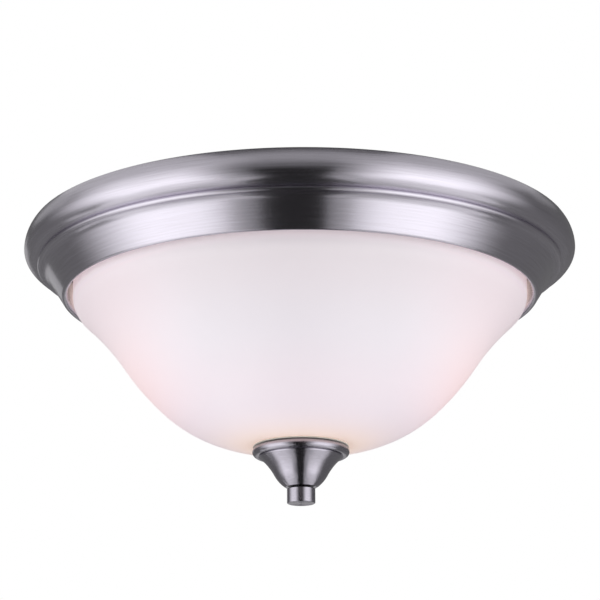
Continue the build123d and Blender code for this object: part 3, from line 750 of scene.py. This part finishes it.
# %% White enamel
def surface(name, dark, light, grain, gloss, relief, pattern="TexNoise", stretch=(1, 1, 1), **values):
    """A finish whose colour, gloss and height follow one pattern of the given grain, in mm."""
    material, tree = new_material(name)
    place = add(tree, "TexCoord")
    laid = add(
        tree,
        "Mapping",
        {"Vector": place.outputs["Object"], "Scale": [1 / (grain * MM * s) for s in stretch]},
    )
    grains = add(tree, pattern, {"Vector": laid.outputs[0], "Scale": 1.0})
    height = grains.outputs[0]
    share = add(tree, "MapRange", {"Value": height, "From Min": 0.3, "From Max": 0.7})
    tone = add(tree, "MixRGB", {"Fac": share.outputs[0], "Color1": color(dark), "Color2": color(light)})
    shine = add(tree, "MapRange", {"Value": height, "To Min": gloss[0], "To Max": gloss[1]})
    relief_map = add(tree, "Bump", {"Height": height, "Strength": 1.0, "Distance": relief * MM})
    inputs = {
        "Base Color": tone.outputs[0], "Roughness": shine.outputs[0], "Normal": relief_map.outputs[0]
    }
    shader = add(tree, "BsdfPrincipled", {**inputs, **values})
    add(tree, "OutputMaterial", {"Surface": shader.outputs[0]})
    return material


# The ripple of sprayed enamel is about 1 mm long; it is drawn at 2.5 mm to show from a step away.
white_enamel = surface(
    "white_enamel", "#f1f0eb", "#f6f5f1", grain=2.5, gloss=(0.16, 0.3), relief=0.012,
    **{"Coat Weight": 0.3, "Coat Roughness": 0.1},
)
paint(white_enamel, "reflector_plate")

# %% [markdown]
# Zinc plate: the strap, brackets, rod and nuts are steel with a thin bright zinc coat. Its crystals reflect a
# little differently from each other, so small patches of grey lie side by side.

# %% Zinc plate
zinc_plate = surface(
    "zinc_plate", "#a3a7ac", "#c6c9cb", grain=1.6, gloss=(0.26, 0.42), relief=0.004,
    pattern="TexVoronoi", Metallic=1.0,
)
paint(zinc_plate, "mounting_strap", "rod_washers", "socket_bracket_1", "socket_bracket_2")

# %% [markdown]
# Rivets are soft aluminium, upset cold by a die that leaves a satin, slightly streaked skin. The bare ground
# lead is drawn copper: streaks run along it, and it has begun to brown.

# %% Aluminium and copper
rivet_aluminium = surface(
    "rivet_aluminium", "#b4b5b7", "#d0d0d1", grain=0.5, gloss=(0.32, 0.48), relief=0.006,
    stretch=(3, 1, 1), Metallic=1.0,
)
paint(rivet_aluminium, "plate_rivets", "bracket_rivets")
bare_copper = surface(
    "bare_copper", "#9a5a3a", "#cf8460", grain=0.9, gloss=(0.26, 0.5), relief=0.01,
    stretch=(1, 3, 3), Metallic=1.0,
)
paint(bare_copper, "ground_lead")

# %% [markdown]
# Rubber and nylon: the buttons, sleeve and ring at the glass are clear silicone rubber, milky and matt. The
# wire bushings are black nylon, moulded in a fine spark-eroded die.

# %% Rubber and nylon
clear_rubber = surface(
    "clear_rubber", "#cfccc4", "#dedbd4", grain=0.8, gloss=(0.42, 0.6), relief=0.012,
    **{"Subsurface Weight": 0.25, "Subsurface Radius": (0.002, 0.002, 0.002), "IOR": 1.41},
)
paint(clear_rubber, "rim_bumpers", "glass_bushing", "cup_gasket")
black_nylon = surface(
    "black_nylon", "#141414", "#232324", grain=0.35, gloss=(0.38, 0.55), relief=0.012, IOR=1.53
)
paint(black_nylon, "wire_bushings")

# %% [markdown]
# Glazed porcelain: the lamp holders are pressed, glazed and fired. The glaze is smooth and bright over a
# creamy body that is faintly cloudy.

# %% Porcelain
porcelain = surface(
    "porcelain", "#e6e1d6", "#f1eee6", grain=6.0, gloss=(0.12, 0.22), relief=0.02,
    **{"IOR": 1.52, "Coat Weight": 0.7, "Coat Roughness": 0.06},
)
paint(porcelain, "socket_body_1", "socket_body_2")

# %% [markdown]
# Brass and solder: the tongue in each holder is rolled brass strip with streaks along the roll, and the
# contact at the lamp's end is a drop of tin solder, dull and a little pitted. Dark fused glass lies round it.

# %% Brass, solder and dark glass
spring_brass = surface(
    "spring_brass", "#b08d4c", "#d3b06a", grain=0.4, gloss=(0.24, 0.4), relief=0.004,
    stretch=(1, 6, 1), Metallic=1.0,
)
paint(spring_brass, "center_contact_1", "center_contact_2")
tin_solder = surface(
    "tin_solder", "#8d8e8f", "#b3b3b1", grain=0.9, gloss=(0.35, 0.6), relief=0.03, Metallic=1.0
)
paint(tin_solder, "bulb_tip_1", "bulb_tip_2")
dark_glass = surface(
    "dark_glass", "#08080a", "#17161a", grain=1.2, gloss=(0.08, 0.2), relief=0.015, IOR=1.52
)
paint(dark_glass, "bulb_insulator_1", "bulb_insulator_2")

# %% [markdown]
# Lead insulation is extruded plastic, black for the live side and white for the other. It comes out of the
# die with a soft gloss and a slight waviness.

# %% Lead insulation
for tone_name, dark, light in (("black", "#131314", "#212123"), ("white", "#dad8d1", "#e8e6e0")):
    insulation = surface(
        tone_name + "_insulation", dark, light, grain=1.4, gloss=(0.34, 0.48), relief=0.02, IOR=1.54
    )
    paint(insulation, f"lead_{tone_name}_1", f"lead_{tone_name}_2")

# %% [markdown]
# The lamps burn. Their bulbs are frosted inside with fine silica, so the glow is even over the head and falls
# off towards the neck. The heads lie where X and Y have the same sign and the necks where they differ, so the
# product of the two tells how far along a bulb a point is.

# %% Frosted bulbs
FROST = 0.6 * MM
NECK, HEAD = -0.0018, 0.0002
NECK_GLOW, HEAD_GLOW = 0.12, 0.55

frosted_glass, tree = new_material("frosted_glass")
place = add(tree, "TexCoord")
speck = add(tree, "TexNoise", {"Vector": place.outputs["Object"], "Scale": 1 / FROST})
milky, clear = color("#f1ede4"), color("#faf7f0")
tone = add(tree, "MixRGB", {"Fac": speck.outputs["Fac"], "Color1": milky, "Color2": clear})
axes = add(tree, "SeparateXYZ", {0: place.outputs["Object"]})
along = add(tree, "Math", {0: axes.outputs["X"], 1: axes.outputs["Y"]}, operation="MULTIPLY")
glow = add(
    tree,
    "MapRange",
    {
        "Value": along.outputs[0], "From Min": NECK, "From Max": HEAD,
        "To Min": NECK_GLOW, "To Max": HEAD_GLOW,
    },
    interpolation_type="SMOOTHSTEP",
)
frost = add(
    tree,
    "BsdfPrincipled",
    {
        "Base Color": tone.outputs[0], "Roughness": 0.35, "IOR": 1.5,
        "Emission Color": color("#ffe2b8"), "Emission Strength": glow.outputs[0],
    },
)
add(tree, "OutputMaterial", {"Surface": frost.outputs[0]})
paint(frosted_glass, "bulb_envelope_1", "bulb_envelope_2")

# %% [markdown]
# A threaded bar: a cutter that moves along the bar while it turns leaves a ridge that climbs by one pitch in
# each turn. The spin operator does the same when every step also moves along the axis. One turn is spun, the
# bar is doubled until it is long enough, and its ends are sawn off square and closed.

# %% Threaded rod and studs
THREAD_STEPS = 20
THREAD_DEPTH = 0.55
THREAD_FLAT = 0.125
STUD_X = 52.0
HALF_TURN = Matrix.Rotation(math.pi, 4, "Z")


def both_sides(place):
    """A place, and the one opposite to it across the axis."""
    return [place, HALF_TURN @ place]


def saw(bm, place, outward):
    """Cuts off what lies outside a plane, in mm, and closes the cut."""
    cut = bmesh.ops.bisect_plane(
        bm, geom=everything(bm), plane_co=Vector(place) * MM, plane_no=outward, clear_outer=True
    )
    edges = [e for e in cut["geom_cut"] if isinstance(e, bmesh.types.BMEdge)]
    bmesh.ops.contextual_create(bm, geom=edges)


def threaded_bar(bm, radius, pitch, top, bottom):
    """A bar with a right-handed thread, between two heights in mm."""
    depth = THREAD_DEPTH * pitch
    flat = THREAD_FLAT * pitch
    flank = math.hypot(depth, pitch / 2 - flat)
    slope = math.degrees(math.atan2(pitch / 2 - flat, depth))
    draw(
        bm,
        (radius - depth, bottom - pitch),
        90,
        [(flat,), {slope - 90: 0}, (flank,), {90 - slope: 0}, (flat,), {90 - slope: 0}, (flank,)],
    )
    wind(bm, 360, THREAD_STEPS, rise=pitch)
    length = pitch
    while length < top - bottom + 2 * pitch:
        made = bmesh.ops.duplicate(bm, geom=everything(bm))["geom"]
        bmesh.ops.translate(bm, verts=verts_of(made), vec=(0, 0, length * MM))
        length *= 2
    bmesh.ops.remove_doubles(bm, verts=bm.verts, dist=0.01 * pitch * MM)
    saw(bm, (0, 0, top), (0, 0, 1))
    saw(bm, (0, 0, bottom), (0, 0, -1))
    bmesh.ops.recalc_face_normals(bm, faces=bm.faces)


bm = bmesh.new()
threaded_bar(bm, radius=3.0, pitch=1.0, top=-9.0, bottom=-160.02)
stand_for("center_rod", bm, zinc_plate)

bm = bmesh.new()
threaded_bar(bm, radius=2.1, pitch=0.8, top=-0.2, bottom=-24.5)
copies(bm, both_sides(at(STUD_X, 0, 0)))
stand_for("mounting_studs", bm, zinc_plate)

# %% [markdown]
# A hexagonal nut starts as a turned blank with both faces bevelled by 30 degrees. Six flats are then milled
# on it, and where a flat meets the bevel the edge curves by itself, as on a real nut. Here each flat is one
# cut by a plane. A cap nut is the same with a low dome over the end of the bore.

# %% Nuts
NUT_STEPS = 48
NUT_FACE = 0.97
NUT_BEVEL = 30.0
DOME_EDGE = 60.0


def nut(bm, across, height, bore, depth, dome=0):
    """A nut that stands on zero, with a bore of some depth and perhaps a dome of some radius."""
    corner = across / math.sqrt(3)
    face = NUT_FACE * across / 2
    slope = (corner - face) / math.cos(math.radians(NUT_BEVEL))
    wall = height - 2 * (corner - face) * math.tan(math.radians(NUT_BEVEL))
    body = [
        (face - bore,), {NUT_BEVEL: 0}, (slope,), {90 - NUT_BEVEL: 0}, (wall,),
        {90 - NUT_BEVEL: 0}, (slope,), {NUT_BEVEL: 0},
    ]
    if dome:
        edge = dome * math.cos(math.radians(90 - DOME_EDGE))
        bored = [(bore,), {-90: 0}, (depth,), {90: 0}]
        draw(bm, (0, depth), 0, bored + body + [(face - edge,), {-DOME_EDGE: 0}, {DOME_EDGE: dome}])
    else:
        draw(bm, (bore, 0), 0, body + [(face - bore,), {90: 0}, (height,)])
    lathe(bm, NUT_STEPS)
    for i in range(6):
        out = Matrix.Rotation(math.radians(30 + 60 * i), 3, "Z") @ Vector((1, 0, 0))
        saw(bm, out * across / 2, out)
    bmesh.ops.recalc_face_normals(bm, faces=bm.faces)


WEB_TOP = -17.2
WEB_BOTTOM = -18.0
STRAP_SHEET = 1.6
STRAP_NUT = 3.2
LOCK_WASHER = 1.0
ROD_WASHER = 1.2
ROD_NUT = 5.0
UPSIDE_DOWN = Matrix.Rotation(math.pi, 4, "X")

bm = bmesh.new()
nut(bm, across=8.7, height=STRAP_NUT, bore=2.1, depth=STRAP_NUT)
copies(bm, both_sides(at(STUD_X, 0, -STRAP_SHEET - STRAP_NUT)))
stand_for("strap_nuts", bm, zinc_plate)

bm = bmesh.new()
nut(bm, across=8.7, height=5.0, bore=2.1, depth=5.6, dome=4.1)
copies(bm, both_sides(at(STUD_X, 0, WEB_BOTTOM - LOCK_WASHER) @ UPSIDE_DOWN))
stand_for("cap_nuts", bm, zinc_plate)

bm = bmesh.new()
nut(bm, across=10.0, height=ROD_NUT, bore=3.0, depth=ROD_NUT)
copies(bm, [at(0, 0, WEB_TOP + ROD_WASHER), at(0, 0, WEB_BOTTOM - ROD_WASHER - ROD_NUT)])
stand_for("rod_nuts", bm, zinc_plate)

# %% [markdown]
# A spring lock washer is a bar wound into one open turn, so its ends stand a little apart in height. It is a
# small rectangle spun not quite once round while it climbs.

# %% Lock washers
WASHER_R = 2.15
WASHER_WIDTH = 2.15
WASHER_RISE = 0.15
WASHER_GAP = 16.0
WASHER_STEPS = 40

bm = bmesh.new()
bar = LOCK_WASHER - WASHER_RISE
draw(
    bm,
    (WASHER_R, 0),
    0,
    [(WASHER_WIDTH,), {90: 0}, (bar,), {90: 0}, (WASHER_WIDTH,), {90: 0}, (bar,)],
)
bmesh.ops.remove_doubles(bm, verts=bm.verts, dist=2 * MERGE)
bmesh.ops.contextual_create(bm, geom=bm.edges[:])
wind(bm, 360 - WASHER_GAP, WASHER_STEPS, rise=WASHER_RISE)
bmesh.ops.recalc_face_normals(bm, faces=bm.faces)
copies(bm, both_sides(at(STUD_X, 0, WEB_BOTTOM - LOCK_WASHER)))
stand_for("lock_washers", bm, zinc_plate)

# %% [markdown]
# Slotted screws: a turned head with a rounded edge, and a slot sawn straight across. Two cuts mark the slot's
# sides and one its floor, the faces between are taken out, and the two walls and the floor are filled in.

# %% Slotted screws
SCREW_STEPS = 40
SLOT_SHARE = 0.17
SLOT_DEPTH = 0.55
HAIR = 0.001


def slotted_screw(bm, head_r, head_h, edge_r, shank_r, shank):
    """A screw that hangs its shank below zero, with its slot along Y."""
    draw(
        bm,
        (0, -shank),
        0,
        [
            (shank_r,), {90: 0}, (shank,), {-90: 0}, (head_r - shank_r,), {90: 0},
            (head_h - edge_r,), {90: edge_r}, (head_r - edge_r,),
        ],
    )
    lathe(bm, SCREW_STEPS)
    half = SLOT_SHARE * head_r
    floor = head_h * (1 - SLOT_DEPTH)
    for place, out in (((-half, 0, 0), (1, 0, 0)), ((half, 0, 0), (1, 0, 0)), ((0, 0, floor), (0, 0, 1))):
        bmesh.ops.bisect_plane(bm, geom=everything(bm), plane_co=Vector(place) * MM, plane_no=out)
    middles = [(face, face.calc_center_median() / MM) for face in bm.faces]
    sawn = [face for face, middle in middles if abs(middle.x) < half and middle.z > floor]
    bmesh.ops.delete(bm, geom=sawn, context="FACES")
    for side in (-half, half):
        open_edges = [e for e in bm.edges if e.is_boundary]
        wall = [e for e in open_edges if all(abs(v.co.x / MM - side) < HAIR for v in e.verts)]
        ends = [v for e in wall for v in e.verts if sum(v in other.verts for other in wall) == 1]
        wall.append(bm.edges.new(ends))
        bmesh.ops.contextual_create(bm, geom=wall)
    bmesh.ops.contextual_create(bm, geom=[e for e in bm.edges if e.is_boundary])
    bmesh.ops.recalc_face_normals(bm, faces=bm.faces)


print("slots take", SLOT_DEPTH, "of a head's height")

# %% [markdown]
# Two ground screws are dyed green so that the installer finds them: one on the plate and one under the strap.
# The strap is thicker than the plate, so the end of its screw is drawn up to the strap's face. Two plain
# screws hold the lamp holders to their brackets.

# %% Ground and holder screws
PLATE_SHEET = 0.8
LAMP_PLACE = at(-72, 45, -51)

green_zinc = surface(
    "green_zinc", "#1c6b38", "#3f9a5b", grain=1.3, gloss=(0.28, 0.42), relief=0.004,
    pattern="TexVoronoi", Metallic=1.0,
)
bm = bmesh.new()
slotted_screw(bm, head_r=3.8, head_h=2.2, edge_r=0.7, shank_r=1.9, shank=PLATE_SHEET)
on_plate = at(24, 30, WEB_TOP) @ Matrix.Rotation(math.radians(35), 4, "Z")
under_strap = at(18, 0, -STRAP_SHEET) @ UPSIDE_DOWN
copies(bm, [on_plate, under_strap])
tip = [v for v in bm.verts if abs(v.co.z / MM + STRAP_SHEET - PLATE_SHEET) < 10 * HAIR]
bmesh.ops.translate(bm, verts=tip, vec=(0, 0, (STRAP_SHEET - PLATE_SHEET) * MM))
stand_for("ground_screws", bm, green_zinc)

bm = bmesh.new()
slotted_screw(bm, head_r=3.2, head_h=2.0, edge_r=1.0, shank_r=1.6, shank=6.2)
copies(bm, both_sides(LAMP_PLACE @ at(-1.2, 0, 0) @ Matrix.Rotation(-math.pi / 2, 4, "Y")))
stand_for("socket_screws", bm, zinc_plate)

# %% [markdown]
# Lamp caps and the shells that take them are thin metal with a rolled thread. Rolling pushes the wall in and
# out in a wave that climbs round the axis, so the cap is spun as a plain tube first and each point is then
# moved out by a wave of its height and its angle. The wave fades out at both ends.

# %% Lamp caps and shells
LAMP_STEPS = 72
LAMP_PITCH = 3.629
WAVE_FADE = 2.2
CAP_START = (9.2, 18.2)
CAP_LENGTH = 19.7
CAP_WALL = 0.4
SHELL_START = (13.4, 8)
SHELL_LENGTH = 28
SHELL_WALL = 0.35
TUBE_SMOOTH = 50
LENGTHWISE = Matrix.Rotation(math.pi / 2, 4, "Y")


def roll_thread(bm, start, end, depth, least_r):
    """Rolls a right-handed wave into the wall of a tube that lies beyond a radius."""
    for vert in bm.verts:
        height = vert.co.z / MM
        reach = math.hypot(vert.co.x, vert.co.y)
        if reach / MM < least_r or not start < height < end:
            continue
        phase = (height - start) / LAMP_PITCH - math.atan2(vert.co.y, vert.co.x) / (2 * math.pi)
        ease = min(1, (height - start) / WAVE_FADE, (end - height) / WAVE_FADE)
        rise = depth * (0.5 - 0.5 * math.cos(2 * math.pi * phase)) * ease * ease * (3 - 2 * ease)
        vert.co.xy *= 1 + rise * MM / reach


lamp_aluminium, nickel_shell = [
    surface(
        name, dark, light, grain=0.5, gloss=gloss, relief=0.003, stretch=(1, 4, 4), Metallic=1.0
    )
    for name, dark, light, gloss in (
        ("lamp_aluminium", "#b7b8ba", "#d6d6d6", (0.2, 0.34)),
        ("nickel_shell", "#b3aa98", "#d1c9b9", (0.22, 0.36)),
    )
]
for number, place in enumerate(both_sides(LAMP_PLACE), 1):
    bm = bmesh.new()
    draw(
        bm,
        CAP_START,
        0,
        [
            (CAP_WALL,), {90: 2.7}, (CAP_LENGTH, 60), {90: 0},
            (CAP_WALL,), {90: 0}, (CAP_LENGTH,), {-90: 2.3}, (CAP_WALL,),
        ],
    )
    lathe(bm, LAMP_STEPS)
    roll_thread(bm, start=20.9, end=36.5, depth=0.8, least_r=12.25)
    bmesh.ops.transform(bm, matrix=place @ LENGTHWISE, verts=bm.verts)
    stand_for(f"bulb_cap_{number}", bm, lamp_aluminium, TUBE_SMOOTH)

    bm = bmesh.new()
    wall = (SHELL_LENGTH, 90)
    draw(bm, SHELL_START, 0, [(SHELL_WALL,), {90: 0}, wall, {90: 0}, (SHELL_WALL,), {90: 0}, wall])
    lathe(bm, LAMP_STEPS)
    roll_thread(bm, start=8.0, end=36.0, depth=SHELL_WALL, least_r=13.0)
    bmesh.ops.transform(bm, matrix=place @ LENGTHWISE, verts=bm.verts)
    stand_for(f"screw_shell_{number}", bm, nickel_shell, TUBE_SMOOTH)

# %% [markdown]
# Twist-on connectors are moulded: a cone with ribs for the fingers and two short wings at its mouth. They are
# spun from the cone's outline, and each point is moved by its angle to raise the ribs and the wings.

# %% Wire connectors
CONE_STEPS = 108
CONE_HEIGHT = 16
CONE_TAPER = 1.7
MOUTH_DEPTH = 15
MOUTH_R = 3.1
MOUTH_WALL = 3.2
CONE_TOP = 23.6
RIBS = 18
RIB_HEIGHT = 0.35
RIB_START = 7.5
WING_REACH = 1.9
WING_ANGLE = 11.0
WING_TOP = 12
WING_SLOPE = 6
FADE = 1.5
CONE_SMOOTH = 40

connector_plastic = surface(
    "connector_plastic", "#cc6a1d", "#dc7a2c", grain=0.5, gloss=(0.36, 0.5), relief=0.012, IOR=1.49
)
taper = math.hypot(CONE_HEIGHT, CONE_TAPER)
lean = math.degrees(math.atan2(CONE_TAPER, CONE_HEIGHT))
along_y = Matrix.Rotation(-math.pi / 2, 4, "X")
for tone_name, place in zip(("black", "white"), both_sides(at(0, 21, -11.6))):
    bm = bmesh.new()
    draw(
        bm,
        (0, MOUTH_DEPTH),
        0,
        [
            (MOUTH_R,), {-90: 0}, (MOUTH_DEPTH,), {90: 0},  # mouth, from its end down
            (2.0,), {90: 0.4}, (7.6, 8),  # foot
            {lean: 0}, (taper - 1.0, 14), {90 - lean: 1.0}, (2.8,),  # cone and its end
        ],
    )
    lathe(bm, CONE_STEPS)
    for vert in bm.verts:
        reach, height = vert.co.xy.length / MM, vert.co.z / MM
        if reach < MOUTH_WALL or height > CONE_TOP:
            continue
        angle = math.atan2(vert.co.y, vert.co.x)
        fade_in = min(1, max(0, height - RIB_START) / FADE)
        rib = -RIB_HEIGHT * (0.5 - 0.5 * math.cos(RIBS * angle)) * fade_in
        off = abs(math.degrees(math.asin(max(-1, min(1, math.sin(angle))))))
        slope = min(1, height / FADE, max(0, WING_TOP - height) / WING_SLOPE)
        wing = max(0, 1 - (off / WING_ANGLE) ** 4) * slope
        vert.co.xy *= 1 + (rib + WING_REACH * wing) / reach
    bmesh.ops.transform(bm, matrix=place @ along_y, verts=bm.verts)
    stand_for(f"wire_connector_{tone_name}", bm, connector_plastic, CONE_SMOOTH)

# %% [markdown]
# The pad over the plate keeps the lamps' heat from the ceiling. It is a mat of glass wool: soft and yellow,
# with glass fibres lying in all directions. Three noises, stretched in three directions, stand for them.

# %% Glass wool
# A fibre is about 0.01 mm thick; bundles of them are drawn at 0.25 mm, ten times as long as wide.
FIBRE = 0.25 * MM
FLUFF = 0.8 * MM

glass_wool, tree = new_material("glass_wool")
place = add(tree, "TexCoord")
fibres = []
for lay in ((0, 0, 0.3), (0.2, 0.3, 1.4), (0.4, 0.6, 2.5)):
    laid = add(
        tree,
        "Mapping",
        {"Vector": place.outputs["Object"], "Rotation": lay, "Scale": (1 / FIBRE, 0.1 / FIBRE, 1 / FIBRE)},
    )
    fibres.append(
        add(tree, "TexNoise", {"Vector": laid.outputs[0], "Scale": 1.0, "Detail": 3.0, "Distortion": 0.6})
    )
crossing = add(tree, "Math", {0: fibres[0].outputs[0], 1: fibres[1].outputs[0]}, operation="MAXIMUM")
mat = add(tree, "Math", {0: crossing.outputs[0], 1: fibres[2].outputs[0]}, operation="MAXIMUM")
share = add(tree, "MapRange", {"Value": mat.outputs[0], "From Min": 0.45, "From Max": 0.75})
deep, pale = color("#b89b53"), color("#f0e2ae")
tone = add(tree, "MixRGB", {"Fac": share.outputs[0], "Color1": deep, "Color2": pale})
fluff = add(tree, "Bump", {"Height": mat.outputs[0], "Strength": 1.0, "Distance": FLUFF})
wool = add(
    tree,
    "BsdfPrincipled",
    {"Base Color": tone.outputs[0], "Roughness": 0.95, "Sheen Weight": 0.4, "Normal": fluff.outputs[0]},
)
add(tree, "OutputMaterial", {"Surface": wool.outputs[0]})
print(glass_wool.name, "with bundles of", FIBRE / MM, "mm")

# %% [markdown]
# The mat is punched to a ring, lumpy on top and flat where it lies on the plate. The ring is spun and a noise
# of the mat's lump size moves its points, more so the higher they lie.

# %% Pad
PAD_STEPS = 320
PAD_START_R = 90.5
PAD_WIDTH = 45.9
PAD_EDGE = 2.5
PAD_WALL = 6.0
PAD_HEIGHT = 11.0
LUMP = 9.0 * MM
LUMP_HEIGHT = 1.1 * MM
SIDE_LUMP = 0.7 * MM
LUMP_NOISE = (1.0, 2.0, 3)
SIDE_SHIFT = Vector((7, 3, 5))

bm = bmesh.new()
flat, wall, corner = (PAD_WIDTH, 28), (PAD_WALL, 4), {90: PAD_EDGE}
draw(bm, (PAD_START_R, WEB_TOP), 0, [flat, corner, wall, corner, flat, corner, wall, corner])
lathe(bm, PAD_STEPS)
for vert in bm.verts:
    lift = (vert.co.z / MM - WEB_TOP) / PAD_HEIGHT
    spot = vert.co / LUMP
    vert.co.z += lift * LUMP_HEIGHT * (noise.fractal(spot, *LUMP_NOISE) - 0.5)
    bulge = SIDE_LUMP * lift * (1 - lift) * 4 * noise.fractal(spot + SIDE_SHIFT, *LUMP_NOISE)
    vert.co.xy *= 1 + bulge / vert.co.xy.length
pad = stand_for("insulation_pad", bm, glass_wool, 180)
